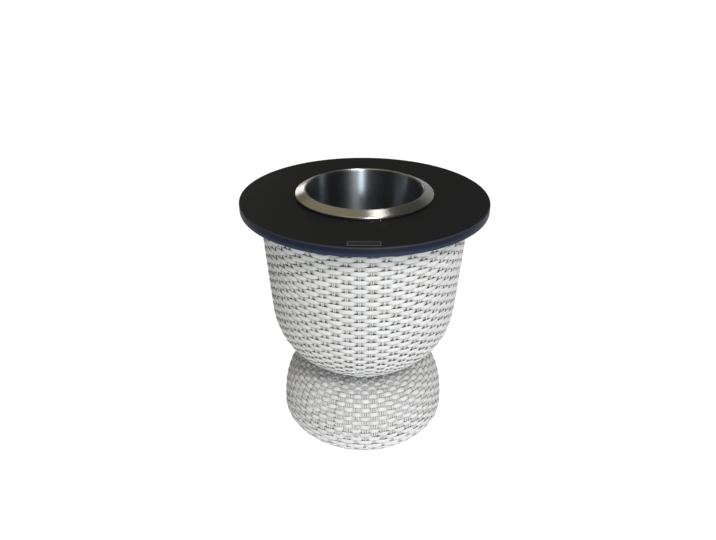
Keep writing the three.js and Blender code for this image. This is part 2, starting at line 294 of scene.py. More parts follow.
def grid_quads(rows, columns, close_rows=False):
    """Quads between neighbours on a grid that closes round its columns, and perhaps its rows."""
    i = np.arange(rows if close_rows else rows - 1)
    i, j = np.meshgrid(i, np.arange(columns), indexing="ij")
    below, right = (i + 1) % rows, (j + 1) % columns
    corners = [i * columns + j, below * columns + j, below * columns + right, i * columns + right]
    return np.stack(corners, -1).reshape(-1, 4)


def end_caps(rows, columns, starts=0):
    """The end faces of grids closed round their columns, whose first points are at starts."""
    first = np.atleast_1d(starts)[:, None] + np.arange(columns)
    return np.vstack([first, first[:, ::-1] + (rows - 1) * columns])


def turned(name, profile, material, turns, place=(0.0, 0.0)):
    """A profile of (radius, height) points turned about Z: x = r cos a, y = r sin a, z = h.

    A profile that starts and ends on the axis gets a pole there. Any other closes on itself.
    """
    on_axis = profile[:, 0] < 1e-9
    closed = not on_axis.any()
    ring = profile[~on_axis]
    a = np.linspace(0, 2 * np.pi, turns, endpoint=False)
    points = (around(ring[:, :1], ring[:, 1:], a) + (*place, 0.0)).reshape(-1, 3)
    quads = grid_quads(len(ring), turns, closed)
    if closed:
        return mesh_object(name, points, quads, material)
    low, high = profile[on_axis, 1]
    first, last = len(points), len(points) + 1
    points = np.vstack([points, (*place, low), (*place, high)])
    here = np.arange(turns)
    ahead = (here + 1) % turns
    end = (len(ring) - 1) * turns
    below = np.stack([np.full(turns, first), here, ahead], -1)
    above = np.stack([np.full(turns, last), end + ahead, end + here], -1)
    return mesh_object(name, points, quads, material, np.vstack([below, above]))


def rounded(corners, rounds, steps):
    """Corner points joined by straight lines, each inner corner replaced by a quadratic curve.

    A curve leaves the lines at its reach from the corner: (1-t)^2 p + 2 t (1-t) corner + t^2 q.
    Points beside each curve hold the flats flat under smooth shading.
    """
    corners = np.asarray(corners, float)
    t = np.linspace(0, 1, steps + 1)[:, None]
    runs = [corners[:1]]
    for before, corner, after, reach in zip(corners, corners[1:], corners[2:], rounds):
        back, ahead = unit(before - corner), unit(after - corner)
        p, q = corner + back * reach, corner + ahead * reach
        hold = 0.12 * reach
        runs.append(p[None] + back * hold)
        runs.append((1 - t) ** 2 * p + 2 * t * (1 - t) * corner + t ** 2 * q)
        runs.append(q[None] + ahead * hold)
    runs.append(corners[-1:])
    return np.vstack(runs)


def sideways(points, distance):
    """A run of (radius, height) points moved to the left of the way it runs."""
    along = np.gradient(points, axis=0)
    along /= np.linalg.norm(along, axis=1)[:, None]
    return points + distance * np.stack([-along[:, 1], along[:, 0]], -1)


def bezier(a, b, c, d):
    """A cubic curve: (1-t)^3 a + 3 t (1-t)^2 b + 3 t^2 (1-t) c + t^3 d."""
    t = np.linspace(0, 1, 160)[:, None]
    return (1 - t) ** 3 * a + 3 * t * (1 - t) ** 2 * b + 3 * t * t * (1 - t) * c + t ** 3 * d


class Outline:
    """A dense run of (radius, height) points that is read by the way along it."""

    def __init__(self, points):
        self.points = points
        steps = np.hypot(*np.diff(points, axis=0).T)
        self.way = np.concatenate([[0], np.cumsum(steps)])
        along = np.gradient(points, self.way, axis=0)
        self.along = along / np.linalg.norm(along, axis=1)[:, None]

    def place(self, way):
        """Radius and height at a way along the outline, carried on straight past its ends."""
        r = np.interp(way, self.way, self.points[:, 0])
        z = np.interp(way, self.way, self.points[:, 1])
        spare = way - np.clip(way, 0, self.way[-1])
        along_r, along_z = self.direction(way)
        return r + spare * along_r, z + spare * along_z

    def direction(self, way):
        """Radial and upright parts of the direction in which the outline runs."""
        return (np.interp(way, self.way, self.along[:, 0]),
                np.interp(way, self.way, self.along[:, 1]))


def pedestal_outlines():
    """The bowl's and the base's outer outline, from below upwards, as dense points.

    A curve's handles lie along the direction at its end. Each pull is a handle's length, as a
    share of the width or height that the curve covers.
    """
    size = settings().pedestal
    foot_pull, belly_low_pull, belly_high_pull, waist_pull = 0.25, 0.3, 0.85, 0.59
    start_pull, shoulder_pull = 0.32, 0.67
    foot = np.array([size.foot_radius, size.foot_height])
    belly = np.array([size.belly_radius, size.belly_height])
    waist = np.array([size.waist_radius, size.waist_height])
    shoulder = np.array([size.shoulder_radius, size.waist_height + size.shoulder_rise])
    mouth = np.array([size.mouth_radius, TOP_LOW.z - size.top_gap])
    out, up = np.array([1.0, 0.0]), np.array([0.0, 1.0])
    wall = unit(mouth - shoulder)
    start = np.array([math.cos(size.bowl_start), math.sin(size.bowl_start)])
    lower = bezier(foot, foot + foot_pull * (belly[0] - foot[0]) * out,
                   belly - belly_low_pull * (belly[1] - foot[1]) * up, belly)
    upper = bezier(belly, belly + belly_high_pull * (waist[1] - belly[1]) * up,
                   waist + waist_pull * (belly[0] - waist[0]) * out, waist)
    curve = bezier(waist, waist + start_pull * size.shoulder_rise * start,
                   shoulder - shoulder_pull * size.shoulder_rise * wall, shoulder)
    straight = np.linspace(shoulder, mouth, 60)
    return np.vstack([curve, straight[1:]]), np.vstack([lower, upper[1:]])


# Weave

# How steeply a row dips behind a stake, and how squarely a stake passes the rows
DIP_POWER = 7
STAKE_SQUARENESS = 1.6

# Random differences from bump to bump of the rows
LIFT_SPREAD = 0.16 * MM
WAY_SPREAD = 0.22 * MM
WIDTH_SPREAD = 0.035
ROW_TONE_SPREAD = 0.22

# Random differences from stake to stake, the shift in stake gaps
SHIFT_SPREAD = 0.012
STAKE_TONE_SPREAD = 0.25

# Radius at which the way along a row is measured for its streaks
ROW_UV_RADIUS = 150 * MM


def section(outer, inner):
    """Points round a strand, as (across, out) from -1 to 1, with most of them on the outer face.

    The outer face is a half ellipse squared off to the power 0.8. The inner face is flatter.
    """
    a = np.linspace(0, np.pi, outer)
    b = np.linspace(np.pi, 2 * np.pi, inner + 2)[1:-1]
    front = np.stack([np.cos(a), np.sin(a) ** 0.8], -1)
    back = np.stack([np.cos(b) * 0.9, np.sin(b) * 0.8], -1)
    return np.vstack([front, back])


SECTION = section(outer=5, inner=1)


def strands(name, material, centre, half, across, thickness, out, along, closed, tone, sunk):
    """Strands in one mesh: a point is centre + half * s * across + thickness / 2 * t * out.

    (s, t) runs round SECTION. The arrays run over strands, then over places along a strand, tone
    and sunk also round it. A strand closes on itself or ends in flat caps.
    """
    points = centre[..., None, :] + (half[..., None, None] * SECTION[:, :1] * across[..., None, :]
                                     + thickness / 2 * SECTION[:, 1:] * out[..., None, :])
    count, places, sides = shape = points.shape[:-1]
    starts = np.arange(count) * places * sides
    quads = grid_quads(places, sides, closed) + starts[:, None, None]
    caps = None if closed else end_caps(places, sides, starts)
    uv = np.stack(np.broadcast_arrays(along[:, None], SECTION[:, 0] * 0.5 + 0.5), -1)
    return mesh_object(name, points.reshape(-1, 3), quads.reshape(-1, 4), material, caps,
                       np.broadcast_to(uv, (*shape, 2)).reshape(-1, 2),
                       tone=np.broadcast_to(tone, shape), sunk=np.broadcast_to(sunk, shape))


def row_places(weave):
    """The way along the outline of each row."""
    return np.arange(weave.first_row, weave.last_row, weave.row_pitch)


def window_shares(weave, ways, border):
    """Half the width in which stakes show, at each way: narrower below the border's end."""
    if border is None:
        return np.full(len(ways), weave.window)
    start, end, narrow = border
    return np.interp(ways, [start, end], [narrow, weave.window])


def woven_rows(name, outline, weave, rows, material, seed, border=None):
    """Rows of strand that run round the pedestal, over one stake and behind the next.

    rows holds the first row and the one past the last. With u the distance to the nearest stake
    that the strand passes behind, in stake gaps, the dip is 1 / (1 + (u / window)^7). The strand
    lies wave * (1 - 2 dip) out of the middle, with a dome between the dips, and its half height
    runs from high_share down to low_share rows.
    """
    chosen = slice(*rows)
    ways = row_places(weave)
    window = window_shares(weave, ways, border)[chosen, None]
    odd = np.arange(len(ways))[chosen, None] % 2
    ways = ways[chosen, None]
    gap = 2 * np.pi / weave.stakes
    periods = weave.stakes // 2
    near, far = 0.6 * weave.window, 1.35 * weave.window
    knots = np.array([0, near, weave.window, far, (1 + far) / 2, 1.0])
    knots = np.concatenate([-knots[:0:-1], knots[:-1]])
    u = np.abs(np.tile(knots, periods))
    turn = (np.arange(periods)[:, None] * 2 + knots).ravel() * gap
    a = -np.pi / 2 + weave.stake_turn + turn + odd * gap
    random = np.random.default_rng(seed)
    spread = random.normal(size=(4, len(ways), periods)).repeat(len(knots), axis=2)
    dip = 1 / (1 + (u / window) ** DIP_POWER)
    bump = 1 - dip
    lift = weave.wave * (1 - 2 * dip) + LIFT_SPREAD * spread[0] * bump
    lift += weave.dome * (u * (2 - u) - 0.5) * bump
    way = ways + WAY_SPREAD * spread[1] * bump
    share_here = weave.low_share * dip + weave.high_share * bump
    half = weave.row_pitch * share_here * (1 + WIDTH_SPREAD * spread[2] * bump)
    r, z = outline.place(way)
    along_r, along_z = outline.direction(way)
    depth = lift - weave.depth
    centre = around(r + depth * along_z, z - depth * along_r, a)
    slope = np.gradient(lift, axis=1) / (np.gradient(a, axis=1) * r)
    lean = 1 / np.sqrt(1 + slope ** 2)
    out = around(along_z, -along_r, a) - slope[..., None] * forward(a)
    tone = np.clip(0.5 + ROW_TONE_SPREAD * spread[3], 0, 1)[..., None]
    # Painted shade: full where a row dips behind a stake, half on the inner face of each bump
    sunk = dip[..., None] + 0.5 * bump[..., None] * (SECTION[:, 1] < 0)
    return strands(name, material, centre, half, around(along_r, along_z, a), weave.strand,
                   lean[..., None] * out, turn * ROW_UV_RADIUS, True, tone, sunk)


def woven_stakes(name, outline, weave, strand, material, seed, border=None):
    """One upright strand of each stake, which passes the rows in turn.

    Along the outline a strand lies stake_wave * tanh(1.6 cos p) / tanh(1.6) out of the middle,
    where p grows by half a turn with each row and is zero where the row passes behind.
    """
    steps_in_row, spare_steps = 4, 2
    last = (len(row_places(weave)) - 1) * steps_in_row
    steps = np.arange(-spare_steps, last + spare_steps + 1)
    way = weave.first_row + steps * weave.row_pitch / steps_in_row
    stake = np.arange(weave.stakes)[:, None]
    phase = np.pi * (steps / steps_in_row + stake)
    bend = np.tanh(STAKE_SQUARENESS * np.cos(phase)) / np.tanh(STAKE_SQUARENESS)
    lift = weave.stake_wave * bend
    gap = 2 * np.pi / weave.stakes
    offset = (strand - (weave.strands - 1) / 2) * weave.spread
    random = np.random.default_rng(seed)
    shift = SHIFT_SPREAD * random.normal(size=stake.shape)
    tone = np.clip(0.5 + STAKE_TONE_SPREAD * random.normal(size=stake.shape), 0, 1)
    squeeze = window_shares(weave, way, border) / weave.window
    a = -np.pi / 2 + weave.stake_turn + (stake + (offset + shift) * squeeze) * gap
    r, z = outline.place(way)
    along_r, along_z = outline.direction(way)
    depth = lift - weave.depth
    centre = around(r + depth * along_z, z - depth * along_r, a)
    tilt = np.gradient(lift, way, axis=1)
    lean = 1 / np.sqrt(1 + tilt ** 2)
    out = around(lean * (along_z - tilt * along_r), lean * (-along_r - tilt * along_z), a)
    half = 0.5 * weave.fill * weave.spread * gap * r * squeeze
    # Painted shade: a stake is always partly shaded, fully where it passes behind the rows
    sunk = (0.75 - 0.35 * bend)[..., None]
    return strands(name, material, centre, half, forward(a), weave.stake_strand, out, way, False,
                   tone[..., None], sunk)


# Tubes


def tube(name, path, radii, material, turn):
    """A round tube along a path of (radius, height) points in one upright plane.

    A point is the path's point plus radius * (cos b * side + sin b * out), where side is level
    and out stands across the path. The plane is turned about Z by the given angle.
    """
    sides = 16
    along = np.gradient(path, axis=0)
    along /= np.linalg.norm(along, axis=1)[:, None]
    b = np.linspace(0, 2 * np.pi, sides, endpoint=False)
    out, side = radii[:, None] * np.sin(b), radii[:, None] * np.cos(b)
    r, z = path[:, :1] + out * along[:, 1:], path[:, 1:] - out * along[:, :1]
    points = (around(r, z, turn) + side[..., None] * forward(turn)).reshape(-1, 3)
    quads = grid_quads(len(path), sides)
    return mesh_object(name, points, quads, material, end_caps(len(path), sides))


def hoop(name, radius, height, thickness, material):
    """A ring of round tube: its section, a circle, is turned about Z."""
    b = np.linspace(0, 2 * np.pi, 16, endpoint=False)
    profile = np.stack([radius + thickness * np.cos(b), height + thickness * np.sin(b)], -1)
    return turned(name, profile, material, turns=160)


def slab(name, half_x, half_y, corner, profile, place, material):
    """A plate with round corners, lofted through (inset, height) pairs and closed flat.

    Each level is a rectangle drawn in by the inset, with a quarter circle at every corner.
    """
    smallest, steps = 0.05 * MM, 10
    quarter = np.repeat(np.arange(4) * np.pi / 2, steps)
    a = quarter + np.tile(np.linspace(0, np.pi / 2, steps), 4)
    side_x, side_y = np.sign(np.cos(quarter + np.pi / 4)), np.sign(np.sin(quarter + np.pi / 4))
    inset, height = np.array(profile).T[..., None]
    radius = np.maximum(corner - inset, smallest)
    x = side_x * (half_x - inset - radius) + radius * np.cos(a)
    y = side_y * (half_y - inset - radius) + radius * np.sin(a)
    points = np.stack(np.broadcast_arrays(x, y, height), -1) + place
    count, sides = x.shape
    quads = grid_quads(count, sides)
    return mesh_object(name, points.reshape(-1, 3), quads, material, end_caps(count, sides))


# Finishes


class Value:
    """A node socket that takes part in Python arithmetic by adding Math nodes."""

    def __init__(self, tree, socket):
        self.tree = tree
        self.socket = socket

    def math(self, operation, *others):
        return self.tree.node("ShaderNodeMath", {"operation": operation},
                              dict(enumerate((self, *others))))

    def __add__(self, other):
        return self.math("ADD", other)

    def __sub__(self, other):
        return self.math("SUBTRACT", other)

    def __rsub__(self, other):
        return self.math("MULTIPLY_ADD", -1.0, other)

    def __mul__(self, other):
        return self.math("MULTIPLY", other)

    __radd__ = __add__
    __rmul__ = __mul__

    def sine(self):
        return self.math("SINE")

    def root(self):
        return self.math("SQRT")


class Tree:
    """A node tree and the few ways in which its nodes are added."""

    def __init__(self, tree, shader):
        self.nodes = tree.nodes
        self.links = tree.links
        self.shader = next(n for n in self.nodes if n.type == shader)

    def put(self, socket, value):
        """Gives a socket a value or a link."""
        if isinstance(value, Value):
            self.links.new(value.socket, socket)
        elif socket.type == "RGBA":
            socket.default_value = (*value, 1.0)
        else:
            socket.default_value = value

    def set(self, socket, value):
        """Gives one of the shader's sockets a value or a link."""
        self.put(self.shader.inputs[socket], value)

    def node(self, kind, choices=None, sockets=None, output=0):
        """Adds a node: first its settings, then the values or links of its sockets."""
        node = self.nodes.new(kind)
        for name, value in (choices or {}).items():
            setattr(node, name, value)
        for name, value in (sockets or {}).items():
            self.put(node.inputs[name], value)
        return Value(self, node.outputs[output])

    def split(self, vector):
        """A vector's X, Y and Z."""
        first = self.node("ShaderNodeSeparateXYZ", None, {0: vector})
        return [Value(self, socket) for socket in first.socket.node.outputs]

    def vector(self, x, y, z):
        return self.node("ShaderNodeCombineXYZ", None, {0: x, 1: y, 2: z})

    def mix(self, factor, a, b):
        """A colour between two colours, which are a Mix node's inputs 6 and 7 and its output 2."""
        return self.node("ShaderNodeMix", {"data_type": "RGBA"}, {0: factor, 6: a, 7: b}, 2)

    def between(self, value, start, end):
        """Runs from 0 at the start to 1 at the end, and is held there past both."""
        return self.node("ShaderNodeMapRange", None, {0: value, 1: start, 2: end})


class Paint(Tree):
    """A material, with the place on the object."""

    def __init__(self, name, **fixed):
        self.material = bpy.data.materials.new(name)
        self.material.use_nodes = True
        super().__init__(self.material.node_tree, "BSDF_PRINCIPLED")
        for socket, value in fixed.items():
            self.set(socket.replace("_", " "), value)
        self.place = self.node("ShaderNodeTexCoord", output="Object")
        self.x, self.y, self.z = self.split(self.place)

    def radius(self):
        """The distance from the Z axis."""
        return (self.x * self.x + self.y * self.y).root()

    def noise(self, scale, detail, place=None):
        """Clouds over the object, or over a place that is given."""
        return self.node("ShaderNodeTexNoise", None,
                         {"Vector": place or self.place, "Scale": scale, "Detail": detail})

    def attribute(self, name):
        return self.node("ShaderNodeAttribute", {"attribute_name": name}, output="Fac")

    def bump(self, height, strength, distance):
        self.set("Normal", self.node("ShaderNodeBump", None, {
            "Strength": strength, "Distance": distance, "Height": height}))


def laminate_paint(tint):
    """Matte laminate: a fine grain, faint wear in the gloss and a banded edge.

    The worn line is where radius and height together stand closest to the top corner.
    """
    paint = Paint("matte laminate", IOR=1.18)
    grain = paint.noise(scale=900.0, detail=3.0)
    cloud = paint.noise(scale=9.0, detail=4.0)
    face_end, edge_start = TOP_HIGH.x - 1.6 * MM, TOP_HIGH.x - 0.8 * MM
    light_end, dark_start = TOP_LOW.z + 4.5 * MM, TOP_LOW.z + 7.5 * MM
    radius = paint.radius()
    edge = paint.between(radius, face_end, edge_start)
    # Painted reflection on the edge: darker in the upper band, painted lighter in the lower band
    edge_reflection = paint.mix(paint.between(paint.z, light_end, dark_start), tint.edge_lit, tint.edge_shaded)
    reach = settings().top.edge_round
    corner = radius + paint.z - (TOP_HIGH.x + TOP_HIGH.z - reach)
    # Painted highlight along the middle of the top round of the edge
    painted_highlight = paint.between(corner, 0.16 * reach, 0.34 * reach)
    face = paint.mix(cloud * 0.5, tint.laminate, tint.laminate * 1.25)
    paint.set("Base Color", paint.mix(painted_highlight, paint.mix(edge, face, edge_reflection), tint.edge_highlight))
    paint.set("Roughness", 0.56 + cloud * 0.12 - edge * 0.16)
    paint.bump(grain, strength=0.12, distance=0.2 * MM)


def plate_paint(tint):
    """Dark anodised plate, brushed along X, with its raised border rubbed lighter."""
    paint = Paint("brushed dark plate", Metallic=0.2, IOR=1.3)
    brushed = paint.vector(paint.x, paint.y * 100.0, paint.z)
    lines = paint.noise(40.0, 2.0, brushed)
    rise = PLATE_HIGH.z - PLATE_LOW.z
    raised = paint.between(paint.z, PLATE_LOW.z + 0.75 * rise, PLATE_LOW.z + 0.95 * rise)
    face = paint.mix(lines, tint.plate, tint.plate * 0.7)
    paint.set("Base Color", paint.mix(raised, face, tint.plate_border))
    paint.set("Roughness", 0.42 + lines * 0.2)
    paint.bump(lines, strength=0.1, distance=0.05 * MM)


def steel_paint(tint):
    """Spun steel: fine turned lines, a bright flange and a darker wall.

    The gloss is stretched across the turned lines, up the wall and out over the flange.
    """
    paint = Paint("spun steel", Metallic=1.0, Anisotropic=0.85, Anisotropic_Rotation=0.25)
    radius = paint.radius()
    spun = paint.vector(radius, paint.z, 0.0)
    lines = paint.noise(1600.0, 3.0, spun)
    broad = paint.noise(220.0, 2.0, spun)
    smudge = paint.noise(scale=26.0, detail=3.0)
    flange_end, wall_start = BUCKET_HIGH.x - 16.5 * MM, BUCKET_HIGH.x - 18.5 * MM
    inside = paint.between(radius, flange_end, wall_start)
    flange = paint.mix(broad * 0.5, tint.steel, tint.steel * 0.85)
    # Painted shade: the wall is the flange's steel painted darker and bluish
    wall = paint.mix(broad * 0.6, tint.steel_wall_shade, tint.steel_wall_shade * 0.86)
    paint.set("Base Color", paint.mix(inside, flange, wall))
    paint.set("Roughness", 0.2 + lines * 0.06 + smudge * 0.04 + inside * 0.06)
    paint.bump(lines, strength=0.08, distance=0.012 * MM)


def resin_paint(tint, name, grooves):
    """Woven resin: fine grooves along each strand, tone from strand to strand, dust held low.

    A strand is darker where it is sunk behind its neighbours.
    """
    paint = Paint(name, IOR=1.46)
    along, width, _ = paint.split(paint.node("ShaderNodeUVMap", {"uv_map": "Strand"}))
    tone, sunk = paint.attribute("tone"), paint.attribute("sunk")
    streak = paint.noise(1.0, 3.0, paint.vector(along * 60.0, width * 9.0, tone * 40.0))
    cloud = paint.noise(scale=14.0, detail=3.0)
    # Darker and warmer from 75 mm down to 20 mm above the floor
    tint_start, tint_full, tint_amount = 75 * MM, 20 * MM, 0.25
    low = paint.between(paint.z + cloud * 0.04, tint_start, tint_full)
    ridge = (width * (2 * math.pi * grooves)).sine()
    shade = paint.mix(tone * 0.75 + streak * 0.3, tint.resin, tint.resin_shade)
    # Painted shade where a strand sinks behind its neighbours and on its inner face
    shade = paint.mix(sunk, shade, tint.resin_sunk)
    paint.set("Base Color", paint.mix(low * tint_amount, shade, tint.low_tint))
    paint.set("Roughness", 0.42 + streak * 0.16 + tone * 0.08)
    paint.bump(ridge * 0.35 + streak * 0.65, strength=0.45, distance=0.25 * MM)


def aluminium_paint(tint):
    """Plain drawn aluminium: a cloudy oxide and a fine grain."""
    paint = Paint("drawn aluminium", Metallic=0.9)
    cloud = paint.noise(scale=35.0, detail=4.0)
    fine = paint.noise(scale=700.0, detail=2.0)
    paint.set("Base Color", paint.mix(cloud * 0.8, tint.aluminium, tint.aluminium * 0.72))
    paint.set("Roughness", 0.34 + cloud * 0.2)
    paint.bump(fine, strength=0.12, distance=0.08 * MM)


def metal_paint(name, shade, rough):
    """Small machined pieces: turned marks 1 mm apart and a mottled gloss."""
    paint = Paint(name, Base_Color=shade, Metallic=1.0)
    cloud = paint.noise(scale=180.0, detail=3.0)
    marks = (paint.z * (2 * math.pi / MM)).sine()
    paint.set("Roughness", rough - 0.06 + cloud * 0.16)
    paint.bump(marks * 0.5 + cloud * 0.3, strength=0.25, distance=0.12 * MM)


def glide_paint(tint):
    """Moulded black plastic with a scuffed underside."""
    paint = Paint("moulded glide")
    grain = paint.noise(scale=1200.0, detail=2.0)
    scuff = paint.between(paint.z, 1.5 * MM, 0.0) * paint.noise(scale=300.0, detail=4.0)
    paint.set("Base Color", paint.mix(scuff, tint.glide, tint.scuff))
    paint.set("Roughness", 0.5 + grain * 0.2)
    paint.bump(grain, strength=0.3, distance=0.1 * MM)


def paints():
    """The table's materials by name, made when they are first asked for."""
    made = bpy.data.materials
    if "matte laminate" not in made:
        tint = settings().colours
        laminate_paint(tint)
        plate_paint(tint)
        steel_paint(tint)
        resin_paint(tint, "woven resin", grooves=3)
        resin_paint(tint, "stake resin", grooves=1)
        aluminium_paint(tint)
        metal_paint("screw steel", tint.screw, 0.32)
        metal_paint("insert brass", tint.brass, 0.36)
        glide_paint(tint)
    return made


def dress(node, material):
    """Gives a CAD node that stays in sight its material."""
    slots = frame["nodes"][node].data.materials
    slots.clear()
    slots.append(material)


def finish_piece(piece, body, slot, *nodes):
    """Rides a piece on its body, names its slot and the CAD nodes it stands for."""
    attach(piece, body)
    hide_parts(*nodes)


# Stage


def floor_paint():
    """Pale floor that glows as a lit white sweep does, less so in front and far to the sides."""
    paint = Paint("studio floor", Base_Color=settings().colours.floor, Roughness=0.9,
                  Emission_Strength=1.0)
    glow, dim = (0.96, 0.96, 0.96), (0.42, 0.415, 0.375)
    lean, near, far = 0.8, 0.85, 1.2
    front = paint.between(paint.y, -0.3, -0.8)
    left = paint.between(paint.x + paint.y * lean, -near, -far)
    right = paint.between(paint.x - paint.y * lean, near, far)
    paint.set("Emission Color", paint.mix((front + left + right).math("MINIMUM", 1.0), glow, dim))
    return paint.material


def studio_sky():
    """Dim light: warm and high on the left, pale and low at the back right, pale high in front."""
    world = bpy.data.worlds.new("studio")
    world.use_nodes = True
    sky = Tree(world.node_tree, "BACKGROUND")
    dark, warm, moss = (0.05, 0.05, 0.055), (0.28, 0.25, 0.18), (0.06, 0.065, 0.052)
    amber, pale, bright = (0.1, 0.09, 0.07), (0.3, 0.3, 0.31), (0.6, 0.58, 0.52)
    x, y, z = sky.split(sky.node("ShaderNodeTexCoord", output="Generated"))
    right = sky.between(x, -0.2, 0.25)
    above = sky.mix(sky.between(y, -0.6, -0.2), dark, sky.mix(right, warm, moss))
    middle = sky.between(x, -0.65, -0.35) * sky.between(x, 0.3, 0.1)
    above = sky.mix(middle * sky.between(y, 0.0, -0.3), above, bright)
    level = sky.mix(sky.between(y, 0.4, 0.8), dark, sky.mix(right, amber, pale))
    sky.set("Color", sky.mix(sky.between(z, 0.3, 0.6), level, above))
    return world


def place_camera(scene):
    """The camera stands 0.9 m in front of the axis and looks 27.8 degrees down."""
    place = (0.0, -0.9, 0.7867)
    pitch, yaw, roll = (math.radians(v) for v in (27.82, -0.64, 0.20))
    lens = bpy.data.cameras.new("table_camera")
    lens.sensor_width = 36.0
    lens.lens = 29.68
    lens.clip_start = 10 * MM
    camera = bpy.data.objects.new("table_camera", lens)
    camera.matrix_world = (Matrix.Translation(place) @ Matrix.Rotation(-yaw, 4, "Z")
                           @ Matrix.Rotation(math.pi / 2 - pitch, 4, "X")
                           @ Matrix.Rotation(roll, 4, "Z"))
    scene.collection.objects.link(camera)
    scene.camera = camera


def add_lamp(scene, name, place, size, power, tint):
    """A round lamp that is turned to the middle of the table."""
    lamp = bpy.data.lights.new(name, "AREA")
    lamp.shape = "DISK"
    lamp.size = size
    lamp.energy = power
    lamp.color = tint
    light = bpy.data.objects.new(name, lamp)
    light.location = place
    aim = Vector((0.0, 0.0, 0.28)) - light.location
    light.rotation_euler = aim.to_track_quat("-Z", "Y").to_euler()
    scene.collection.objects.link(light)


# Operators


class ICETABLE_OT_stage(bpy.types.Operator):
    """Pale floor, soft studio lights and a camera at the table's front"""

    bl_idname = "ice_table.stage"
    bl_label = "Stage"

    def execute(self, context):
        scene = context.scene
        reach = 30.0
        points = reach * np.array([[-1, -1, 0], [1, -1, 0], [1, 1, 0], [-1, 1, 0]])
        floor = mesh_object("studio_floor", points, np.array([[0, 1, 2, 3]]), floor_paint())
        scene.world = studio_sky()
        white, cool = (0.98, 0.985, 1.0), (0.84, 0.94, 1.0)
        for lamp in (
            ("key_light", (0.74, -2.15, 0.35), 0.4, 17.0, white),
            ("front_light", (0.25, -2.1, 0.93), 0.28, 18.0, cool),
            ("over_light", (0.6, -1.5, 1.9), 0.45, 34.0, white),
            ("top_light", (0.27, 0.65, 2.2), 0.35, 1.4, white),
            ("back_light", (-0.9, 2.2, 0.9), 0.7, 2.0, white),
        ):
            add_lamp(scene, *lamp)
        place_camera(scene)
        scene.view_settings.view_transform = "Standard"
        return {"FINISHED"}


class ICETABLE_OT_tabletop(bpy.types.Operator):
    """Round laminate top with its hole and the blank plate"""

    bl_idname = "ice_table.tabletop"
    bl_label = "Tabletop"

    def execute(self, context):
        size, paint = settings().top, paints()
        middle = (size.radius + size.hole_radius) / 2
        low, high = TOP_LOW.z, TOP_HIGH.z
        corners = [(middle, low), (size.radius, low), (size.radius, high), (size.hole_radius, high),
                   (size.hole_radius, low), (middle, low)]
        rounds = [size.edge_round, size.edge_round, size.hole_round, size.hole_round]
        top = turned("tabletop_board", rounded(corners, rounds, 8)[:-1],
                     paint["matte laminate"], turns=320)
        finish_piece(top, "table", "laminate", "tabletop")
        half = (PLATE_HIGH - PLATE_LOW) / 2
        rise, border = PLATE_HIGH.z - PLATE_LOW.z, size.plate_border
        side_top, shoulder, foot, face = 0.6 * rise, 0.85 * rise, 0.72 * rise, 0.68 * rise
        loft = [(0, 0), (0, side_top), (0.05 * MM, shoulder), (0.18 * MM, rise), (border, rise),
                (border + 0.12 * MM, foot), (border + 0.3 * MM, face), (border + 0.5 * MM, face)]
        place = (0.0, (PLATE_LOW.y + PLATE_HIGH.y) / 2, PLATE_LOW.z)
        plate = slab("blank_plate", half.x, half.y, size.plate_corner, loft, place,
                     paint["brushed dark plate"])
        finish_piece(plate, "table", "plate", "badge_plate")
        return {"FINISHED"}


class ICETABLE_OT_bucket(bpy.types.Operator):
    """Spun steel ice bucket that hangs by its flange"""

    bl_idname = "ice_table.bucket"
    bl_label = "Ice bucket"

    def execute(self, context):
        size = settings().bucket
        half = size.sheet / 2
        floor = BUCKET_LOW.z + half
        crest = floor + size.depth
        seat = TOP_HIGH.z + size.seat_gap
        lip = BUCKET_HIGH.x - half
        corners = [(0, floor), (size.base_radius + half, floor), (size.mouth_radius + half, crest),
                   (lip, seat + size.lip_drop), (lip - size.lip_tuck, seat)]
        middle = rounded(corners, [size.base_round, size.crest_round, size.lip_round], 14)
        outside, inside = sideways(middle, -half), sideways(middle, half)
        outside[0, 0] = inside[0, 0] = 0.0
        # The sheet's end is a flat half ellipse round its middle line
        nose = np.linspace(0, np.pi, 7)[1:-1]
        end = np.stack([np.cos(nose), -0.4 * np.sin(nose)], -1) * half + middle[-1]
        profile = np.vstack([outside, end[::-1], inside[::-1]])
        bucket = turned("bucket_shell", profile, paints()["spun steel"], turns=256)
        finish_piece(bucket, "bucket", "bucket_steel", "ice_bucket")
        return {"FINISHED"}


class ICETABLE_OT_bowl(bpy.types.Operator):
    """Woven bowl of the pedestal"""

    bl_idname = "ice_table.bowl"
    bl_label = "Woven bowl"

    def execute(self, context):
        weave, paint = settings().bowl, paints()
        outline = Outline(pedestal_outlines()[0])
        rows = len(row_places(weave))
        split = rows // 2
        for name, span, seed in (("lower", (0, split), 11), ("upper", (split, rows), 12)):
            piece = woven_rows(f"bowl_rows_{name}", outline, weave, span,
                               paint["woven resin"], seed)
            finish_piece(piece, "table", "woven_resin", "woven_bowl")
        for strand, name in enumerate(("left", "right")):
            piece = woven_stakes(f"bowl_stakes_{name}", outline, weave, strand,
                                 paint["stake resin"], 13 + strand)
            finish_piece(piece, "table", "woven_resin", "woven_bowl")
        return {"FINISHED"}


class ICETABLE_OT_base(bpy.types.Operator):
    """Woven base of the pedestal with its close-woven foot"""

    bl_idname = "ice_table.base"
    bl_label = "Woven base"

    def execute(self, context):
        weave, size, paint = settings().base, settings().pedestal, paints()
        outline = Outline(pedestal_outlines()[1])
        border = (size.foot_end, size.wall_start, size.foot_window)
        piece = woven_rows("base_rows", outline, weave, (0, None), paint["woven resin"],
                           21, border)
        finish_piece(piece, "table", "woven_resin", "woven_base")
        for strand, name in enumerate(("left", "middle", "right")):
            piece = woven_stakes(f"base_stakes_{name}", outline, weave, strand,
                                 paint["stake resin"], 22 + strand, border)
            finish_piece(piece, "table", "woven_resin", "woven_base")
        return {"FINISHED"}


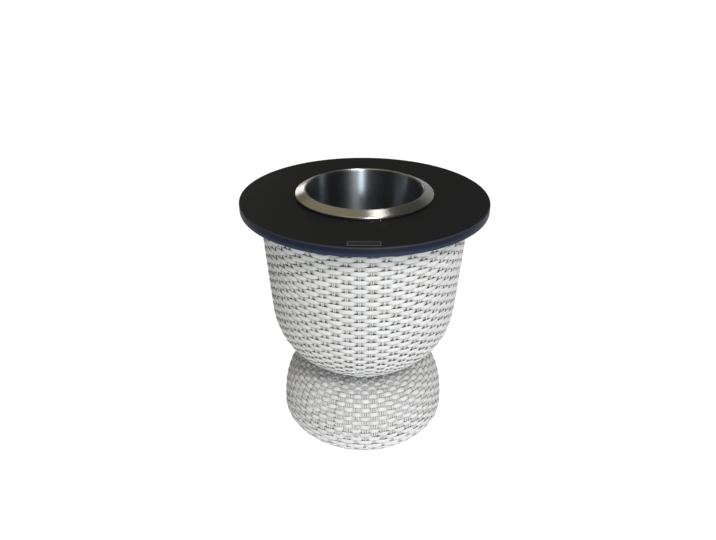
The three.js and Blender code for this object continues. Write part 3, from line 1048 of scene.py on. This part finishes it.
class ICETABLE_OT_frame(bpy.types.Operator):
    """Welded aluminium rings and ribs inside the weave"""

    bl_idname = "ice_table.frame"
    bl_label = "Frame"

    def execute(self, context):
        size, metal = settings().frame, paints()["drawn aluminium"]
        rings = {}
        for name in ("top", "bowl", "waist", "belly", "bottom"):
            low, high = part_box(f"{name}_ring")
            rings[name] = np.array([high.x - size.rod_radius, (low.z + high.z) / 2])
            made = hoop(f"{name}_hoop", *rings[name], size.rod_radius, metal)
            finish_piece(made, "table", "frame_aluminium", f"{name}_ring")
        bowl, base = (sideways(run, size.rod_depth) for run in pedestal_outlines())
        in_belly = base[:, 1] < settings().pedestal.belly_height
        base = base[in_belly | (base[:, 0] > size.turn_radius)]
        lines = {"bowl": (0.0, np.vstack([rings["waist"], bowl[:-1], rings["top"]])),
                 "base": (0.5, np.vstack([base, rings["waist"]]))}
        for name, (shift, line) in lines.items():
            path, radii = self.rod(line, size)
            for i in range(RIBS):
                turn = math.tau * (i + shift) / RIBS
                made = tube(f"{name}_rod_{i + 1}", path, radii, metal, turn)
                finish_piece(made, "table", "frame_aluminium", f"{name}_rib_{i + 1}")
        for i in range(1, CORNERS + 1):
            dress(f"top_tab_{i}", metal)
            dress(f"foot_tab_{i}", metal)
        return {"FINISHED"}

    @staticmethod
    def rod(line, size):
        """A rib's even path between two rings, and its radii, which flare at the welds.

        At a way w from a weld the radius is rod_radius + weld_flare * exp(-(w / weld_reach)^2).
        """
        outline = Outline(line)
        end = outline.way[-1]
        weld = 0.8 * size.rod_radius
        flare = weld + np.array([0, 0.25, 0.5, 0.8, 1.2, 1.8, 2.6]) * size.weld_reach
        plain = weld + 10 * MM
        even = np.concatenate([flare, np.linspace(plain, end - plain, 60), end - flare[::-1]])
        near = np.minimum(even, end - even) - weld
        radii = size.rod_radius + size.weld_flare * np.exp(-(near / size.weld_reach) ** 2)
        return np.stack(outline.place(even), -1), radii


class ICETABLE_OT_fittings(bpy.types.Operator):
    """Screws and inserts under the tabletop, and the floor glides"""

    bl_idname = "ice_table.fittings"
    bl_label = "Fittings"

    def execute(self, context):
        paint, size = paints(), settings().frame
        pad, neck, stem = size.pad_radius, size.neck_radius, size.stem_radius
        shoulder = size.pad_height + size.pad_rise
        neck_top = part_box("foot_tab_1")[0].z - size.neck_gap
        rounds = [size.pad_round, 0.8 * MM, 0.8 * MM, 0.4 * MM, 0.3 * MM, 0.5 * MM]
        for i in range(1, CORNERS + 1):
            dress(f"top_screw_{i}", paint["screw steel"])
            dress(f"top_insert_{i}", paint["insert brass"])
            low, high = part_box(f"foot_glide_{i}")
            place = ((low.x + high.x) / 2, (low.y + high.y) / 2)
            corners = [(0, 0), (pad, 0), (pad, size.pad_height), (neck, shoulder),
                       (neck, neck_top), (stem, neck_top), (stem, high.z), (0, high.z)]
            glide = turned(f"glide_{i}", rounded(corners, rounds, 6), paint["moulded glide"],
                           turns=64, place=place)
            finish_piece(glide, "table", "glide_plastic", f"foot_glide_{i}")
        return {"FINISHED"}


class ICETABLE_PT_panel(bpy.types.Panel):
    """The steps that build the table"""

    bl_idname = "ICETABLE_PT_panel"
    bl_label = "Ice table"
    bl_space_type = "VIEW_3D"
    bl_region_type = "UI"
    bl_category = "Ice table"

    def draw(self, context):
        for step in STEPS:
            self.layout.operator(step.bl_idname)


GROUPS = (TopSizes, BucketSizes, PedestalSizes, BowlWeave, BaseWeave, FrameSizes, TableColours,
          TableSettings)
STEPS = (ICETABLE_OT_stage, ICETABLE_OT_tabletop, ICETABLE_OT_bucket, ICETABLE_OT_bowl,
         ICETABLE_OT_base, ICETABLE_OT_frame, ICETABLE_OT_fittings)


def register():
    for item in (*GROUPS, *STEPS, ICETABLE_PT_panel):
        bpy.utils.register_class(item)
    bpy.types.Scene.ice_table = PointerProperty(type=TableSettings)


def unregister():
    del bpy.types.Scene.ice_table
    for item in reversed((*GROUPS, *STEPS, ICETABLE_PT_panel)):
        bpy.utils.unregister_class(item)


def main():
    register()
    for step in STEPS:
        group, name = step.bl_idname.split(".")
        getattr(getattr(bpy.ops, group), name)()


if __name__ == "__main__":
    main()
